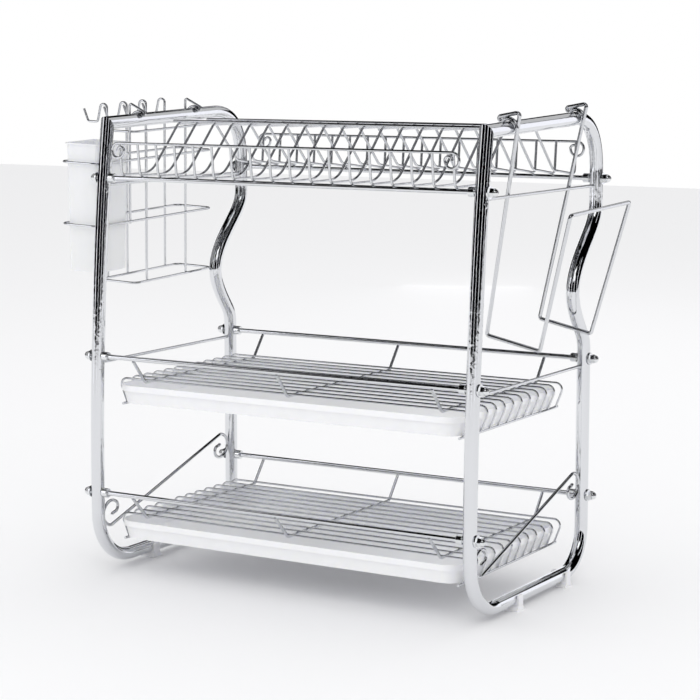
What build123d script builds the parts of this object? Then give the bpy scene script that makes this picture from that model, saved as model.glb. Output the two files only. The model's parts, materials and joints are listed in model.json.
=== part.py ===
from build123d import *
import os
from math import cos, hypot, radians, sin

# Driving dimensions, in millimetres. X is 0 midway between the side frames, Y is 0 at
# the foot of the front posts and grows to the back, Z is height above the worktop.
half_span = 256.0
tube_r = 8.0
tube_wall = 1.0
post_rear_y = 289.0
bottom_z = 13.0
front_bend_r = 62.0
rear_bend_r = 50.0
lean_start_z = 101.5
corner_y = 30.5
corner_z = 547.8
bar_slope_deg = 1.9
bar_end_y = 255.0
bar_split_y = 150.0
dimple_ball_r = 12.0
dimple_depth = 1.6

rod_r = 2.9
rod_end_x = 268.0
bore_gap = 0.1
top_tier = (22.2, 316.9, 482.5)  # front rod Y, rear rod Y, rod height
middle_tier = (4.4, 289.0, 268.1)
lower_tier = (0.0, 289.0, 101.3)

nut_neck_r = 4.0
nut_flange_r = 7.2
nut_flange_t = 1.6
nut_hex_r = 5.6
nut_hex_t = 5.0
nut_dome_r = 4.7
collar_r = 5.6
collar_l = 8.0
neck_reach = 0.88
flange_gap = 0.05

divider_count = 18
divider_pitch = 26.5
divider_r = 1.5
divider_top_z = 544.1
ridge_r = 1.9
ridge_end_x = 233.0
guard_r = 1.6
guard_z = 525.1
front_guard_y = 9.5
rear_guard_y = 328.0
scroll_r = 8.7

side_wire_r = 1.9
side_wire_drop = 8.4
brace_r = 1.9

deck_wire_r = 1.25
deck_count = 12
deck_pitch = 21.5
deck_first_y = 28.5
deck_bend_x = 243.0
deck_foot_x = 231.0
deck_foot_drop = 29.8
hanger_r = 1.9
hanger_drop = 31.6
hanger_x = (-204.0, 0.0, 204.0)
rail_r = 1.6

tray_rim_half_x = 236.2
tray_front_y = 9.0
tray_rear_y = 268.0
tray_rim_h = 7.0
tray_rim_corner_r = 24.0
tray_step = 2.8
tray_depth = 22.4
tray_wall = 1.6
tray_taper_deg = 12.8

foot_half_x = 10.6
foot_half_y = 5.5
foot_base_half_y = 9.5
foot_h = 18.5
foot_flare_z = 6.5
foot_y = (106.0, 233.0)

cage_wire_r = 1.5
cage_mid_y = 145.0
cage_tilt_deg = -2.0
cage_inner_u = 10.2
cage_outer_u = 66.0
cage_front_v = -122.0
cage_rear_v = 120.0
basket_front_v = -47.0
hoop_levels = (-50.0, -126.0)
basket_levels = (-16.0, -204.7)
hook_pitch = 41.0
hook_first_v = -26.0
hanger_v = (-53.0, 65.0)
strut_v = -19.0
cage_hook_peak_w = 20.0
cage_hook_r = 9.9
cage_fold_r = 1.9
hook_start_deg = 140.0
hook_end_deg = 12.0
hook_hop = 2.9

cup_wall = 1.6
cup_mid_u = 38.0
cup_mid_v = -86.3
cup_top = (52.6, 60.0)
cup_bottom = (47.5, 57.0)
cup_base_w = -184.0
cup_h = 157.0
cup_lip = 2.0

holder_wire_r = 2.3
holder_tilt_deg = 11.7
holder_mid_y = 169.5
holder_low_u = 79.0
holder_lip_u = 90.0
holder_bottom_w = -239.0
holder_lip_w = -78.0
holder_half_top = 87.0
holder_half_bottom = 68.0
holder_peak_w = 20.3
holder_bend_r = 3.2
holder_hook_r = 10.7
holder_fold_r = 2.5

# The finished rack is centred over its own footprint in the row frame.
place = Location((15.6, -160.8, 0.0))

slope = radians(bar_slope_deg)
divider_x = [(i - (divider_count - 1) / 2) * divider_pitch for i in range(divider_count)]
deck_y = [deck_first_y + i * deck_pitch for i in range(deck_count)]
tiers = (top_tier, middle_tier, lower_tier)


def bar_z(y):
    """Height of the top bar's axis at a given Y."""
    return corner_z + (y - corner_y) * sin(slope) / cos(slope)


def hung(side, tilt_deg, mid_y, u, v, w):
    """A point given outward from, along and above a side frame's top bar."""
    c = cos(radians(tilt_deg))
    s = sin(radians(tilt_deg))
    x = side * (half_span + c * u + s * cos(slope) * w)
    y = mid_y + cos(slope) * v - c * sin(slope) * w
    z = bar_z(mid_y) - s * u + sin(slope) * v + c * cos(slope) * w
    return (x, y, z)


def save(part, name):
    """Moves a finished piece into the row frame and writes it."""
    placed = part.moved(place)
    placed.label = name
    export_step(placed, f"parts/{name}.step")


def sweep_round(path, wire_r, corners=Transition.TRANSFORMED):
    """Sweeps a round section along a finished wire."""
    with BuildSketch(Plane(origin=path @ 0, z_dir=path % 0), mode=Mode.PRIVATE) as section:
        Circle(wire_r)
    sweep(sections=section.sketch, path=path, transition=corners)


def add_wire(points, wire_r, bend_r=0.0):
    """Sweeps one wire along straight runs joined by rounded bends."""
    with BuildLine(mode=Mode.PRIVATE) as path:
        if bend_r > 0.0:
            FilletPolyline(*points, radius=bend_r)
        else:
            Line(*points)
    sweep_round(path.wire(), wire_r)


def add_hoop(points, wire_r, bend_r):
    """Sweeps a closed wire hoop with rounded corners."""
    with BuildLine(mode=Mode.PRIVATE) as path:
        FilletPolyline(*points, radius=bend_r, close=True)
    sweep_round(path.wire(), wire_r)


def front_path():
    """Frame centreline from the top bar over the mitred corner down to the foot bar."""
    with BuildLine(Plane.YZ, mode=Mode.PRIVATE) as path:
        Line((bar_split_y, bar_z(bar_split_y)), (corner_y, corner_z))
        Line((corner_y, corner_z), (26.5, 518.5))
        Spline(
            (26.5, 518.5),
            (12.5, 384.5),
            (0.0, lean_start_z),
            tangents=((-0.135, -0.99), (0, -1)),
        )
        Line((0.0, lean_start_z), (0.0, bottom_z + front_bend_r))
        RadiusArc((0.0, bottom_z + front_bend_r), (front_bend_r, bottom_z), -front_bend_r)
        Line((front_bend_r, bottom_z), (bar_split_y, bottom_z))
    return path.wire()


def rear_path():
    """Frame centreline from the foot bar up the waisted back post to the top bar."""
    bend_y = post_rear_y - rear_bend_r
    bend_z = bottom_z + rear_bend_r
    bulge_y = top_tier[1]
    with BuildLine(Plane.YZ, mode=Mode.PRIVATE) as path:
        Line((bar_split_y, bottom_z), (bend_y, bottom_z))
        RadiusArc((bend_y, bottom_z), (post_rear_y, bend_z), -rear_bend_r)
        Line((post_rear_y, bend_z), (post_rear_y, 278.5))
        Spline(
            (post_rear_y, 278.5),
            (279.5, 302.5),
            (255.6, 347.5),
            (283.0, 400.5),
            (314.0, 437.5),
            (bulge_y, 472.5),
            tangents=((0, 1), (0, 1)),
        )
        Line((bulge_y, 472.5), (bulge_y, 490.5))
        Spline(
            (bulge_y, 490.5),
            (bar_end_y, bar_z(bar_end_y)),
            tangents=((0, 1), (-cos(slope), -sin(slope))),
        )
        Line((bar_end_y, bar_z(bar_end_y)), (bar_split_y, bar_z(bar_split_y)))
    return path.wire()


def rod_points():
    """Y and Z of the six rod axes."""
    points = []
    for front_y, rear_y, z in tiers:
        points += [(front_y, z), (rear_y, z)]
    return points


def loop_body(radius, ball_r):
    """The frame tube's outside or inside, pinched in where the rods pass through."""
    ball_x = tube_r - dimple_depth + dimple_ball_r
    with BuildPart() as body:
        sweep_round(front_path(), radius, Transition.RIGHT)
        sweep_round(rear_path(), radius, Transition.RIGHT)
        with Locations([(s * ball_x, y, z) for y, z in rod_points() for s in (-1, 1)]):
            Sphere(ball_r, mode=Mode.SUBTRACT)
    return body.part


def side_frames():
    """Left and right frames: one bent, mitred and pierced tube loop each."""
    outside = loop_body(tube_r, dimple_ball_r)
    inside = loop_body(tube_r - tube_wall, dimple_ball_r + tube_wall)
    with BuildPart() as frame:
        add(outside)
        add(inside, mode=Mode.SUBTRACT)
        with Locations([(0, y, z) for y, z in rod_points()]):
            Cylinder(rod_r + bore_gap, 4 * tube_r, rotation=(0, 90, 0), mode=Mode.SUBTRACT)
    save(frame.part.moved(Location((-half_span, 0, 0))), "left_side_frame")
    save(frame.part.moved(Location((half_span, 0, 0))), "right_side_frame")


def cross_rods():
    """Front and rear rod of each tier."""
    names = ("top", "middle", "lower")
    for name, (front_y, rear_y, z) in zip(names, tiers):
        for place_name, y in (("front", front_y), ("rear", rear_y)):
            with BuildPart() as rod:
                with Locations((0, y, z)):
                    Cylinder(rod_r, 2 * rod_end_x, rotation=(0, 90, 0))
                chamfer(rod.edges().filter_by(GeomType.CIRCLE), 0.5)
            save(rod.part, f"{name}_{place_name}_rod")


def cap_nuts():
    """Domed cap nuts outside the frames and plain collars inside them."""
    start = half_span + tube_r
    seat = start - neck_reach
    flange_x = start + flange_gap
    hex_x = flange_x + nut_flange_t
    dome_x = hex_x + nut_hex_t
    bore_r = rod_r + bore_gap
    bore_x = rod_end_x + 1.2
    with BuildPart() as nut:
        with BuildSketch(Plane.XY):
            with BuildLine():
                Polyline(
                    (seat, bore_r),
                    (seat, nut_neck_r),
                    (flange_x, nut_neck_r),
                    (flange_x, nut_flange_r),
                    (hex_x, nut_flange_r),
                    (hex_x, nut_dome_r),
                    (dome_x, nut_dome_r),
                )
                RadiusArc((dome_x, nut_dome_r), (dome_x + nut_dome_r, 0), nut_dome_r)
                Polyline((dome_x + nut_dome_r, 0), (bore_x, 0), (bore_x, bore_r), (seat, bore_r))
            make_face()
        revolve(axis=Axis.X)
        with BuildSketch(Plane.YZ.offset(hex_x)):
            RegularPolygon(nut_hex_r, 6)
            Circle(bore_r, mode=Mode.SUBTRACT)
        extrude(amount=nut_hex_t)
    with BuildPart() as collar:
        inner_x = half_span - tube_r
        with BuildSketch(Plane.YZ.offset(inner_x - collar_l)):
            Circle(collar_r)
        extrude(amount=collar_l - flange_gap)
        fillet(collar.edges().filter_by(GeomType.CIRCLE), 0.8)
        with BuildSketch(Plane.YZ.offset(inner_x - 2 * flange_gap)):
            Circle(nut_neck_r)
        extrude(amount=neck_reach + 2 * flange_gap)
        with BuildSketch(Plane.YZ.offset(inner_x - collar_l - 1.0)):
            Circle(bore_r)
        extrude(amount=collar_l + 3.0, mode=Mode.SUBTRACT)
    for piece, name in ((nut.part, "cap_nuts"), (collar.part, "collar_nuts")):
        right = [piece.moved(Location((0, y, z))) for y, z in rod_points()]
        left = [
            piece.moved(Location((0, y, z)) * Location((0, 0, 0), (0, 0, 180)))
            for y, z in rod_points()
        ]
        save(Compound(children=right), f"right_{name}")
        save(Compound(children=left), f"left_{name}")


def side_wires():
    """Straight wires tying each frame's posts together under the upper two tiers."""
    for name, x in (("left", -half_span), ("right", half_span)):
        with BuildPart() as wires:
            for front_y, rear_y, z in (top_tier, middle_tier):
                level = z - side_wire_drop
                start = (x, front_y + tube_r - 0.8, level)
                add_wire([start, (x, rear_y - tube_r + 0.5, level)], side_wire_r)
        save(wires.part, f"{name}_side_wires")


def brace_path():
    """Half-turn-symmetric brace: a scroll, a straight diagonal and a second scroll."""
    mid_y = post_rear_y / 2
    mid_z = 93.5
    scroll = [(-117.8, -25.5), (-108.0, -21.5), (-106.0, -14.5), (-113.0, -8.5)]
    scroll += [(-124.0, -8.8), (-133.0, -16.5), (-134.6, -26.0), (-128.6, -34.6)]
    scroll += [(-117.0, -37.6)]
    first = [(mid_y + a, mid_z + b) for a, b in scroll]
    second = [(mid_y - a, mid_z - b) for a, b in reversed(scroll)]
    heading = (second[0][0] - first[-1][0], second[0][1] - first[-1][1])
    with BuildLine(Plane.YZ, mode=Mode.PRIVATE) as path:
        Spline(*first, tangents=((0.6, 0.8), heading), tangent_scalars=(1.0, 1.0))
        Line(first[-1], second[0])
        Spline(*second, tangents=(heading, (0.6, 0.8)), tangent_scalars=(1.0, 1.0))
    return path.wire()


def scroll_braces():
    """Scrolled brace across the foot of each side frame."""
    with BuildPart() as brace:
        sweep_round(brace_path(), brace_r)
    save(brace.part.moved(Location((-half_span, 0, 0))), "left_scroll_brace")
    save(brace.part.moved(Location((half_span, 0, 0))), "right_scroll_brace")


def plate_dividers():
    """Row of arched wires that plates stand between, turned up at both ends to the guards."""
    front_y, rear_y, rod_z = top_tier
    low = rod_z + rod_r + divider_r - 0.1
    front_low = 75.6
    rear_low = (262.0, 494.0)
    front_top = front_low + divider_top_z - low
    rear_top = rear_low[0] - (divider_top_z - rear_low[1])
    post_top_z = guard_z + 0.8
    weld_gap = guard_r + divider_r - 0.1
    points = [
        (front_guard_y + weld_gap, post_top_z),
        (front_y - 5.1, low),
        (front_low, low),
        (front_top, divider_top_z),
        (rear_top, divider_top_z),
        rear_low,
        (rear_y + 4.5, low - 0.5),
        (rear_guard_y - weld_gap, post_top_z),
    ]
    with BuildLine(Plane.YZ, mode=Mode.PRIVATE) as path:
        FilletPolyline(*points, radius=(5.5, 38.0, 5.0, 5.0, 14.0, 5.0))
    with BuildPart() as divider:
        sweep_round(path.wire(), divider_r)
    row = [divider.part.moved(Location((x, 0, 0))) for x in divider_x]
    save(Compound(children=row), "plate_dividers")


def guard_path(y):
    """Plate guard: a straight wire whose ends curl round into small scrolls."""
    end_x = divider_x[-1]
    mid_z = guard_z - scroll_r
    curl_r = scroll_r / 2
    with BuildLine(Plane(origin=(0, y, 0), x_dir=(1, 0, 0), z_dir=(0, -1, 0)), mode=Mode.PRIVATE) as path:
        ThreePointArc((-end_x, mid_z), (-end_x + curl_r, mid_z + curl_r), (-end_x + scroll_r, mid_z))
        CenterArc((-end_x, mid_z), scroll_r, 0, -270)
        Line((-end_x, guard_z), (end_x, guard_z))
        CenterArc((end_x, mid_z), scroll_r, 90, -270)
        ThreePointArc((end_x - scroll_r, mid_z), (end_x - curl_r, mid_z + curl_r), (end_x, mid_z))
    return path.wire()


def plate_guards():
    """Front and rear guard wires and the two wires along the divider tops."""
    for name, y in (("front", front_guard_y), ("rear", rear_guard_y)):
        with BuildPart() as guard:
            sweep_round(guard_path(y), guard_r)
        save(guard.part, f"{name}_guard_wire")
    level = divider_top_z + divider_r + ridge_r - 0.1
    for name, y in (("front", 135.0), ("rear", 207.0)):
        with BuildPart() as ridge:
            add_wire([(-ridge_end_x, y, level), (ridge_end_x, y, level)], ridge_r)
        save(ridge.part, f"{name}_ridge_wire")


def decks():
    """Wire deck, cross hangers and tray rails of the two lower tiers."""
    for name, (front_y, rear_y, z) in (("middle", middle_tier), ("lower", lower_tier)):
        low = z - hanger_drop
        deck_z = low + hanger_r + deck_wire_r - 0.1
        foot_z = deck_z - deck_foot_drop
        leg = hypot(deck_bend_x - deck_foot_x, deck_foot_drop)
        short = (rail_r - 0.3) / leg
        end_x = deck_foot_x + short * (deck_bend_x - deck_foot_x)
        end_z = foot_z + short * deck_foot_drop
        with BuildPart() as wires:
            for y in deck_y:
                points = [(-end_x, y, end_z), (-deck_bend_x, y, deck_z)]
                points += [(deck_bend_x, y, deck_z), (end_x, y, end_z)]
                add_wire(points, deck_wire_r, 8.0)
        save(wires.part, f"{name}_deck_wires")
        with BuildPart() as hangers:
            for x in hanger_x:
                points = [(x, front_y + 1.0, z - rod_r - 0.4), (x, 29.0, low)]
                points += [(x, 266.0, low), (x, rear_y - 1.0, z - rod_r - 0.4)]
                add_wire(points, hanger_r, 7.0)
        save(hangers.part, f"{name}_cross_hangers")
        with BuildPart() as rails:
            for x in (-deck_foot_x, deck_foot_x):
                add_wire([(x, 20.0, foot_z), (x, 270.0, foot_z)], rail_r)
        save(rails.part, f"{name}_tray_rails")


def trays():
    """Drip tray of each lower tier: a round-cornered pan with a deep rim, sat on the rails."""
    mid_y = (tray_front_y + tray_rear_y) / 2
    rim_x = 2 * tray_rim_half_x
    rim_y = tray_rear_y - tray_front_y
    body_r = tray_rim_corner_r - tray_step
    slant = radians(tray_taper_deg)
    inset = tray_step + tray_wall - tray_rim_h * sin(slant) / cos(slant)
    for name, z in (("middle", middle_tier[2]), ("lower", lower_tier[2])):
        rim_z = z - hanger_drop - hanger_r - 0.5
        with BuildPart() as tray:
            with BuildSketch(Plane((0, mid_y, rim_z))):
                RectangleRounded(rim_x, rim_y, tray_rim_corner_r)
            extrude(amount=-tray_rim_h)
            with BuildSketch(Plane((0, mid_y, rim_z - tray_rim_h))):
                RectangleRounded(rim_x - 2 * tray_step, rim_y - 2 * tray_step, body_r)
            extrude(amount=tray_rim_h - tray_depth, taper=tray_taper_deg)
            with BuildSketch(Plane((0, mid_y, rim_z))):
                RectangleRounded(rim_x - 2 * inset, rim_y - 2 * inset, tray_rim_corner_r - inset)
            extrude(amount=tray_wall - tray_depth, taper=tray_taper_deg, mode=Mode.SUBTRACT)
        save(tray.part, f"{name}_drip_tray")


def feet():
    """Clip-on foot saddling the tube at four places."""
    flare = foot_base_half_y - foot_half_y
    with BuildPart() as foot:
        with BuildSketch(Plane.YZ.offset(-foot_half_x)):
            with BuildLine():
                Line((-foot_base_half_y, 0), (foot_base_half_y, 0))
                Line((foot_base_half_y, 0), (foot_base_half_y, 1.5))
                Spline(
                    (foot_base_half_y, 1.5),
                    (foot_half_y, foot_flare_z),
                    tangents=((-1.0, 0.1), (0, 1)),
                    tangent_scalars=(0.5, 0.5),
                )
                Line((foot_half_y, foot_flare_z), (foot_half_y, foot_h))
                Line((foot_half_y, foot_h), (-foot_half_y, foot_h))
                Line((-foot_half_y, foot_h), (-foot_half_y, foot_flare_z))
                Spline(
                    (-foot_half_y, foot_flare_z),
                    (-foot_base_half_y, 1.5),
                    tangents=((0, -1), (-1.0, -0.1)),
                    tangent_scalars=(0.5, 0.5),
                )
                Line((-foot_base_half_y, 1.5), (-foot_base_half_y, 0))
            make_face()
        extrude(amount=2 * foot_half_x)
        fillet(foot.edges().filter_by(Axis.X).group_by(Axis.Z)[-1], 3.0)
        with BuildSketch(Plane.XZ.offset(-2 * foot_base_half_y)):
            with Locations((0, bottom_z)):
                Circle(tube_r)
            with Locations((0, bottom_z + foot_h / 2)):
                Rectangle(2 * tube_r, foot_h)
        extrude(amount=4 * foot_base_half_y, mode=Mode.SUBTRACT)
    for side, x in (("left", -half_span), ("right", half_span)):
        for end, y in zip(("front", "rear"), foot_y):
            save(foot.part.moved(Location((x, y, 0))), f"{end}_{side}_foot")


def cage_point(u, v, w):
    """A point on the cutlery cage, hung outside the left frame."""
    return hung(-1, cage_tilt_deg, cage_mid_y, u, v, w)


def hook_outline(arc_r, bend_r):
    """Outward and upward offsets, with bend radii, of a wire end folded back over the bar."""
    start = radians(hook_start_deg)
    step = radians(hook_start_deg - hook_end_deg) / 4
    reach = arc_r / cos(step)
    tip = (arc_r * cos(start - 4 * step), arc_r * sin(start - 4 * step))
    over = [(reach * cos(start - k * step), reach * sin(start - k * step)) for k in (3, 1)]
    low = (
        arc_r * cos(start) - bend_r * sin(start),
        arc_r * sin(start) + bend_r * cos(start),
    )
    hop = hook_hop * bend_r
    fold = (low[0] + hop * cos(start), low[1] + hop * sin(start))
    return [tip, *over, low, fold], [0.9 * arc_r, 0.9 * arc_r, bend_r, bend_r]


def add_bent(points, radii, wire_r):
    """Sweeps one wire whose bends each have their own radius."""
    with BuildLine(mode=Mode.PRIVATE) as path:
        FilletPolyline(*points, radius=tuple(radii))
    sweep_round(path.wire(), wire_r)


def cutlery_cage():
    """Cage of hoops and uprights with two bar hooks and a row of cup hooks."""
    with BuildPart() as hoops:
        for w, front_v in (
            (hoop_levels[0], cage_front_v),
            (hoop_levels[1], cage_front_v),
            (basket_levels[0], basket_front_v),
            (basket_levels[1], basket_front_v),
        ):
            corners = [
                (cage_inner_u, front_v),
                (cage_outer_u, front_v),
                (cage_outer_u, cage_rear_v),
                (cage_inner_u, cage_rear_v),
            ]
            add_hoop([cage_point(u, v, w) for u, v in corners], cage_wire_r, 9.0)
    save(hoops.part, "cage_hoops")
    inside = cage_inner_u + 2 * cage_wire_r - 0.1
    outer = cage_outer_u + 2 * cage_wire_r - 0.2
    floor_w = basket_levels[1]
    outline, radii = hook_outline(cage_hook_r, cage_fold_r)
    with BuildPart() as hangers:
        for v, low in zip(hanger_v, (hoop_levels[1] - 3.0, floor_w - 2.0)):
            run = [*outline, (inside, cage_hook_peak_w), (inside, low)]
            add_bent([cage_point(u, v, w) for u, w in run], [*radii, 2.6], cage_wire_r)
    save(hangers.part, "cage_hangers")
    with BuildPart() as strut:
        top = cage_point(inside, strut_v, basket_levels[0] + 2.0)
        add_wire([cage_point(inside, strut_v, floor_w - 2.0), top], cage_wire_r)
    save(strut.part, "cage_strut")
    with BuildPart() as hooks:
        for i in range(4):
            v = hook_first_v + i * hook_pitch
            points = [(outer, floor_w - 2.0), (outer, 14.0), (78.0, 14.0), (83.0, -8.5)]
            points += [(98.0, -8.5), (104.8, 7.0)]
            route = [cage_point(u, v, w) for u, w in points]
            add_wire(route, cage_wire_r, 4.2)
    save(hooks.part, "cage_cup_hooks")


def cutlery_cup():
    """Tapered rounded-square cup with a small turned-out lip."""
    up = [hung(-1, cage_tilt_deg, cage_mid_y, cup_mid_u, cup_mid_v, w) for w in (0.0, 1.0)]
    across = [cage_point(cup_mid_u + a, cup_mid_v, 0.0) for a in (0.0, 1.0)]
    z_dir = Vector(*up[1]) - Vector(*up[0])
    x_dir = Vector(*across[1]) - Vector(*across[0])
    base = Plane(origin=cage_point(cup_mid_u, cup_mid_v, cup_base_w), x_dir=x_dir, z_dir=z_dir)
    with BuildPart() as cup:
        with BuildSketch(base):
            RectangleRounded(*cup_bottom, 7.0)
        with BuildSketch(base.offset(cup_h)):
            RectangleRounded(*cup_top, 7.5)
        loft()
        with BuildSketch(base.offset(cup_h - 1.5)):
            RectangleRounded(cup_top[0] + 2 * cup_lip, cup_top[1] + 2 * cup_lip, 8.5)
        extrude(amount=1.5)
        with BuildSketch(base.offset(cup_wall)):
            RectangleRounded(cup_bottom[0] - 2 * cup_wall, cup_bottom[1] - 2 * cup_wall, 5.4)
        with BuildSketch(base.offset(cup_h + 0.01)):
            RectangleRounded(cup_top[0] - 2 * cup_wall, cup_top[1] - 2 * cup_wall, 5.9)
        loft(mode=Mode.SUBTRACT)
    save(cup.part, "cutlery_cup")


def holder_point(u, v, w):
    """A point on the cutting-board holder, hung outside the right frame."""
    return hung(1, holder_tilt_deg, holder_mid_y, u, v, w)


def board_holder():
    """One bent wire slot for cutting boards, its ends folded back over the top bar."""
    taper = (holder_half_top - holder_half_bottom) / (holder_peak_w - holder_bottom_w)
    outline, radii = hook_outline(holder_hook_r, holder_fold_r)
    legs = [(holder_hook_r, holder_peak_w), (holder_hook_r, holder_bottom_w)]
    legs += [(holder_low_u, holder_bottom_w), (holder_lip_u, holder_lip_w)]
    half = [(u, holder_half_top, w) for u, w in outline]
    half += [(u, holder_half_bottom + taper * (w - holder_bottom_w), w) for u, w in legs]
    radii += [holder_bend_r] * len(legs)
    points = [holder_point(u, -v, w) for u, v, w in half]
    points += [holder_point(u, v, w) for u, v, w in reversed(half)]
    with BuildPart() as loop:
        add_bent(points, [*radii, *reversed(radii)], holder_wire_r)
    save(loop.part, "board_holder")


if __name__ == "__main__":
    os.makedirs("parts", exist_ok=True)
    side_frames()
    cross_rods()
    cap_nuts()
    side_wires()
    scroll_braces()
    plate_dividers()
    plate_guards()
    decks()
    trays()
    feet()
    cutlery_cage()
    cutlery_cup()
    board_holder()
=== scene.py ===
import json
from math import cos, pi, radians, sin

import bpy
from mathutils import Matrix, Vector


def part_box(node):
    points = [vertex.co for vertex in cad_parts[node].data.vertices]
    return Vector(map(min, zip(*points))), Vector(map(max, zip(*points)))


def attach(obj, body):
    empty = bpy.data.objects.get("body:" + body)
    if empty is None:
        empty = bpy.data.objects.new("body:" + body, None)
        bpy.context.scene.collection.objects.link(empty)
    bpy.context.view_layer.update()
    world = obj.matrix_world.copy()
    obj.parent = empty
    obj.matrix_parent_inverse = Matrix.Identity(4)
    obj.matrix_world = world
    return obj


# Camera, in metres and degrees, in the row frame.
CAMERA_PLACE = (1.3442, -2.2017, 0.6377)
CAMERA_AZIMUTH = 31.0
CAMERA_ELEVATION = 8.03
CAMERA_LENS = 110.3
SENSOR_WIDTH = 36.0

# Welds where the deck wires' feet meet the tray rails, in metres. The radii are the CAD's.
DECK_WIRE_COUNT = 12
DECK_WIRE_RADIUS = 0.00125
RAIL_RADIUS = 0.0016
WELD_RADIUS = 0.0021
WELD_SINK = 0.0004
WELD_STRETCH = (0.8, 0.9, 0.4)

# Rounding of the moulded pieces' edges, in metres, and the sharpest angle left alone.
PAN_EDGE = 0.0005
FOOT_EDGE = 0.0004
SOFTENED_ANGLE = 40.0

# Texture scales in object coordinates, and how deep their bumps are in metres.
HAZE_SCALE = 38.0
RIPPLE_SCALE = 90.0
MOULD_SCALE = 55.0
CHROME_BUMP_DEPTH = 0.0004
PLASTIC_BUMP_DEPTH = 0.0005

# Studio floor and lights: name, place, power in watts, side in metres.
FLOOR_SIDE = 14.0
LIGHTS = (
    ("key_light", (1.6, -2.2, 2.4), 9.0, 1.4),
    ("fill_light", (-2.2, -1.4, 1.6), 4.0, 1.8),
    ("back_light", (0.3, 2.4, 2.2), 5.0, 1.6),
)

# Cards that only reflections see stand on a ring round the rack, with one overhead.
CARD_TINT = (1.0, 1.0, 1.05, 1.0)
CARD_REACH = 3.2
CARD_MIDDLE_HEIGHT = 1.1
CARD_TALL = 2.6
OVERHEAD_PLACE = (0.0, 0.3, 3.2)
OVERHEAD_SIZE = (0.9, 2.2)
OVERHEAD_TURN = 0.4

# Each ring card's direction in degrees, width in metres and strength.
CARDS = (
    (8.0, 0.16, 1.9),
    (52.0, 0.26, 1.5),
    (96.0, 0.22, 1.6),
    (150.0, 0.6, 1.2),
    (205.0, 0.35, 1.3),
    (262.0, 0.3, 1.7),
    (318.0, 0.45, 1.5),
)


def principled(name):
    """A new material and its shader, node tree and links."""
    material = bpy.data.materials.new(name)
    material.use_nodes = True
    tree = material.node_tree
    return material, tree.nodes["Principled BSDF"], tree.nodes, tree.links


def object_noise(nodes, links, scale, detail, stretch=(1.0, 1.0, 1.0)):
    """Noise in object coordinates, stretched along an axis where asked."""
    coords = nodes.new("ShaderNodeTexCoord")
    mapping = nodes.new("ShaderNodeMapping")
    mapping.inputs["Scale"].default_value = stretch
    noise = nodes.new("ShaderNodeTexNoise")
    noise.inputs["Scale"].default_value = scale
    noise.inputs["Detail"].default_value = detail
    links.new(coords.outputs["Object"], mapping.inputs["Vector"])
    links.new(mapping.outputs["Vector"], noise.inputs["Vector"])
    return noise


def spread(nodes, links, source, low, high):
    """Maps a 0 to 1 texture onto a low to high range."""
    span = nodes.new("ShaderNodeMapRange")
    span.inputs["To Min"].default_value = low
    span.inputs["To Max"].default_value = high
    links.new(source, span.inputs["Value"])
    return span.outputs["Result"]


def add_bump(nodes, links, shader, source, strength, distance):
    """Raises the surface a little by a texture."""
    bump = nodes.new("ShaderNodeBump")
    bump.inputs["Strength"].default_value = strength
    bump.inputs["Distance"].default_value = distance
    links.new(source, bump.inputs["Height"])
    links.new(bump.outputs["Normal"], shader.inputs["Normal"])


def chrome(name, colour, rough_low, rough_high, wave):
    """Polished chrome plate with faint handling haze and a barely uneven surface."""
    material, shader, nodes, links = principled(name)
    shader.inputs["Base Color"].default_value = (*colour, 1.0)
    shader.inputs["Metallic"].default_value = 1.0
    haze = object_noise(nodes, links, HAZE_SCALE, 3.0)
    roughness = spread(nodes, links, haze.outputs["Fac"], rough_low, rough_high)
    links.new(roughness, shader.inputs["Roughness"])
    ripple = object_noise(nodes, links, RIPPLE_SCALE, 2.0)
    add_bump(nodes, links, shader, ripple.outputs["Fac"], wave, CHROME_BUMP_DEPTH)
    return material


def milky_plastic(name, colour, rough, stretch, grain):
    """Translucent moulded plastic, faintly drawn along the mould."""
    material, shader, nodes, links = principled(name)
    shader.inputs["Subsurface Weight"].default_value = 0.35
    shader.inputs["Subsurface Radius"].default_value = (0.006, 0.006, 0.008)
    shader.inputs["Subsurface Scale"].default_value = 0.5
    shader.inputs["IOR"].default_value = 1.5
    drawn = object_noise(nodes, links, MOULD_SCALE, 4.0, stretch)
    tint = nodes.new("ShaderNodeMix")
    tint.data_type = "RGBA"
    tint.inputs["A"].default_value = (*colour, 1.0)
    tint.inputs["B"].default_value = (*[0.94 * c for c in colour], 1.0)
    links.new(drawn.outputs["Fac"], tint.inputs["Factor"])
    links.new(tint.outputs["Result"], shader.inputs["Base Color"])
    roughness = spread(nodes, links, drawn.outputs["Fac"], rough - 0.05, rough + 0.07)
    links.new(roughness, shader.inputs["Roughness"])
    add_bump(nodes, links, shader, drawn.outputs["Fac"], grain, PLASTIC_BUMP_DEPTH)
    return material


def finish_nodes(frame, materials):
    """Gives each CAD node the finish its record slot names."""
    slots = {entry["node"]: entry["material_slot"] for entry in frame["record"]["subparts"]}
    for name, node in frame["nodes"].items():
        node.data.materials.clear()
        node.data.materials.append(materials[slots[name]])


def soften_edges(node, width):
    """Rounds a moulded piece's edges so that they catch the light."""
    bevel = node.modifiers.new("soft_edge", "BEVEL")
    bevel.width = width
    bevel.segments = 2
    bevel.limit_method = "ANGLE"
    bevel.angle_limit = radians(SOFTENED_ANGLE)


def weld_bead(name, place, stretch, material, body):
    """A small flattened bead of metal where two wires are welded."""
    bpy.ops.object.select_all(action="DESELECT")
    bpy.ops.mesh.primitive_uv_sphere_add(
        segments=12, ring_count=8, radius=WELD_RADIUS, location=place, scale=stretch
    )
    bead = bpy.context.active_object
    bead.name = name
    bpy.ops.object.transform_apply(location=True, rotation=True, scale=True)
    bpy.ops.object.shade_smooth()
    bead.data.materials.append(material)
    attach(bead, body)
    return bead


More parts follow.
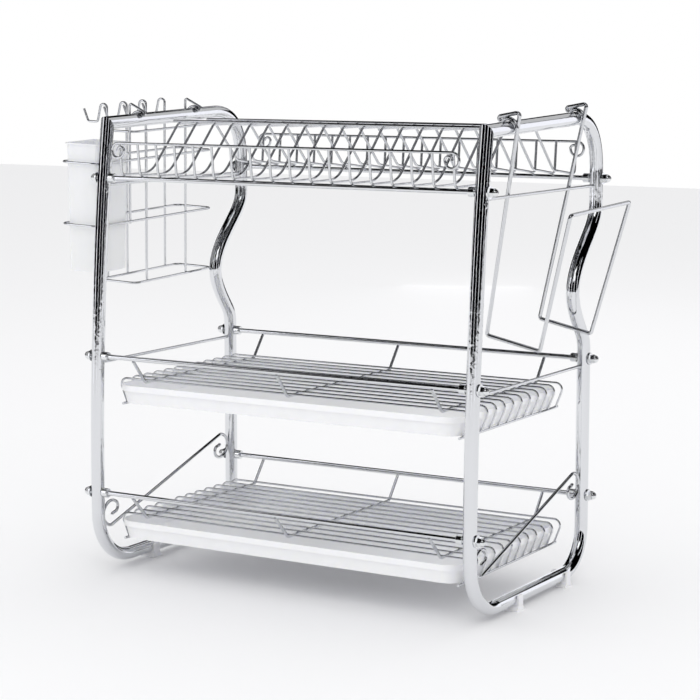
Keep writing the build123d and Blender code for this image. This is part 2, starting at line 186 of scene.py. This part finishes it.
def join(pieces, name):
    """Makes one piece of several that share a body and a finish."""
    bpy.ops.object.select_all(action="DESELECT")
    for piece in pieces:
        piece.select_set(True)
    bpy.context.view_layer.objects.active = pieces[0]
    bpy.ops.object.join()
    pieces[0].name = name


def tray_rail_welds(materials):
    """Beads where every deck wire's foot meets a tray rail."""
    metal = materials["chromed_wire"]
    for tier in ("middle", "lower"):
        low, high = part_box(f"{tier}_tray_rails")
        first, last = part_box(f"{tier}_deck_wires")
        step = (last[1] - first[1] - 2 * DECK_WIRE_RADIUS) / (DECK_WIRE_COUNT - 1)
        beads = []
        for i in range(DECK_WIRE_COUNT):
            y = first[1] + DECK_WIRE_RADIUS + i * step
            for x in (low[0] + RAIL_RADIUS, high[0] - RAIL_RADIUS):
                place = (x, y, high[2] - WELD_SINK)
                beads.append(weld_bead("bead", place, WELD_STRETCH, metal, "rack"))
        join(beads, f"{tier}_rail_welds")


def card(name, place, size, facing, strength):
    """A studio card that only reflections see, drawing a white streak in dark chrome."""
    bpy.ops.object.select_all(action="DESELECT")
    bpy.ops.mesh.primitive_plane_add(size=1.0, location=place, rotation=facing)
    panel = bpy.context.active_object
    panel.name = name
    panel.scale = (size[0], size[1], 1.0)
    material = bpy.data.materials.new(name)
    material.use_nodes = True
    nodes = material.node_tree.nodes
    nodes.clear()
    glow = nodes.new("ShaderNodeEmission")
    glow.inputs["Color"].default_value = CARD_TINT
    glow.inputs["Strength"].default_value = strength
    out = nodes.new("ShaderNodeOutputMaterial")
    material.node_tree.links.new(glow.outputs["Emission"], out.inputs["Surface"])
    panel.data.materials.append(material)
    panel.visible_camera = False
    panel.visible_diffuse = False
    panel.visible_shadow = False
    panel.visible_transmission = False


def studio():
    """Pale floor, soft lights and the cards that the chrome reflects."""
    bpy.ops.object.select_all(action="DESELECT")
    bpy.ops.mesh.primitive_plane_add(size=FLOOR_SIDE, location=(0.0, 0.0, 0.0))
    floor = bpy.context.active_object
    floor.name = "studio_floor"
    material, shader, _, _ = principled("studio_floor_paper")
    shader.inputs["Base Color"].default_value = (0.93, 0.93, 0.94, 1.0)
    shader.inputs["Roughness"].default_value = 0.9
    floor.data.materials.append(material)
    world = bpy.data.worlds.new("studio_air")
    bpy.context.scene.world = world
    world.use_nodes = True
    air = world.node_tree.nodes["Background"]
    air.inputs["Color"].default_value = (1.0, 1.0, 1.0, 1.0)
    air.inputs["Strength"].default_value = 1.0
    world.cycles_visibility.glossy = False
    for name, place, power, side in LIGHTS:
        bpy.ops.object.light_add(type="AREA", location=place)
        light = bpy.context.active_object
        light.name = name
        light.data.energy = power
        light.data.size = side
        aim = light.constraints.new("TRACK_TO")
        aim.target = floor
        aim.track_axis = "TRACK_NEGATIVE_Z"
        aim.up_axis = "UP_Y"
    upright = pi / 2
    for i, (turn, width, glow) in enumerate(CARDS):
        angle = radians(turn)
        place = (CARD_REACH * sin(angle), -CARD_REACH * cos(angle), CARD_MIDDLE_HEIGHT)
        card(f"bright_card_{i + 1}", place, (width, CARD_TALL), (upright, 0.0, angle), glow)
    card("overhead_card", OVERHEAD_PLACE, OVERHEAD_SIZE, (0.0, 0.0, OVERHEAD_TURN), 1.0)


def camera():
    """The camera at the picture's height, angle and field of view."""
    bpy.ops.object.camera_add(
        location=CAMERA_PLACE,
        rotation=(radians(90.0 - CAMERA_ELEVATION), 0.0, radians(CAMERA_AZIMUTH)),
    )
    seen_by = bpy.context.active_object
    seen_by.data.lens = CAMERA_LENS
    seen_by.data.sensor_width = SENSOR_WIDTH
    bpy.context.scene.camera = seen_by


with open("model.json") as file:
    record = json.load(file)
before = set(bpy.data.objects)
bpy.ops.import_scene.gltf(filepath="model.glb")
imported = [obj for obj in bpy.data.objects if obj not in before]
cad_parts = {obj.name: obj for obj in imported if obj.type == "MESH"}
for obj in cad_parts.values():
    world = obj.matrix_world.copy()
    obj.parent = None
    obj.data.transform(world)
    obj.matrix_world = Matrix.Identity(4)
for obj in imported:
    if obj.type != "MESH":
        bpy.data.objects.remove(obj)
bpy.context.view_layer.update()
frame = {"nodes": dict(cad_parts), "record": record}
bpy.ops.object.select_all(action="DESELECT")

steel = (0.74, 0.75, 0.77)
tray_milk = (0.93, 0.935, 0.96)
cup_milk = (0.9, 0.91, 0.94)
foot_milk = (0.86, 0.86, 0.89)
along_y = (1.0, 0.2, 1.0)
along_z = (1.0, 1.0, 0.12)
even = (1.0, 1.0, 1.0)
finishes = {
    "chromed_tube": chrome("chromed_tube_plate", steel, 0.05, 0.11, 0.05),
    "chromed_rod": chrome("chromed_rod_plate", steel, 0.07, 0.14, 0.06),
    "chromed_wire": chrome("chromed_wire_plate", (0.66, 0.67, 0.69), 0.09, 0.17, 0.08),
    "plated_nuts": chrome("plated_nut_plate", (0.78, 0.79, 0.8), 0.06, 0.16, 0.05),
    "tray_plastic": milky_plastic("tray_plastic_skin", tray_milk, 0.33, along_y, 0.12),
    "cup_plastic": milky_plastic("cup_plastic_skin", cup_milk, 0.36, along_z, 0.2),
    "foot_plastic": milky_plastic("foot_plastic_skin", foot_milk, 0.4, even, 0.1),
}
finish_nodes(frame, finishes)
for moulded, rounding in (
    ("middle_drip_tray", PAN_EDGE),
    ("lower_drip_tray", PAN_EDGE),
    ("cutlery_cup", PAN_EDGE),
    ("front_left_foot", FOOT_EDGE),
    ("front_right_foot", FOOT_EDGE),
    ("rear_left_foot", FOOT_EDGE),
    ("rear_right_foot", FOOT_EDGE),
):
    soften_edges(frame["nodes"][moulded], rounding)
tray_rail_welds(finishes)
studio()
camera()
bpy.context.scene.view_settings.view_transform = "Standard"
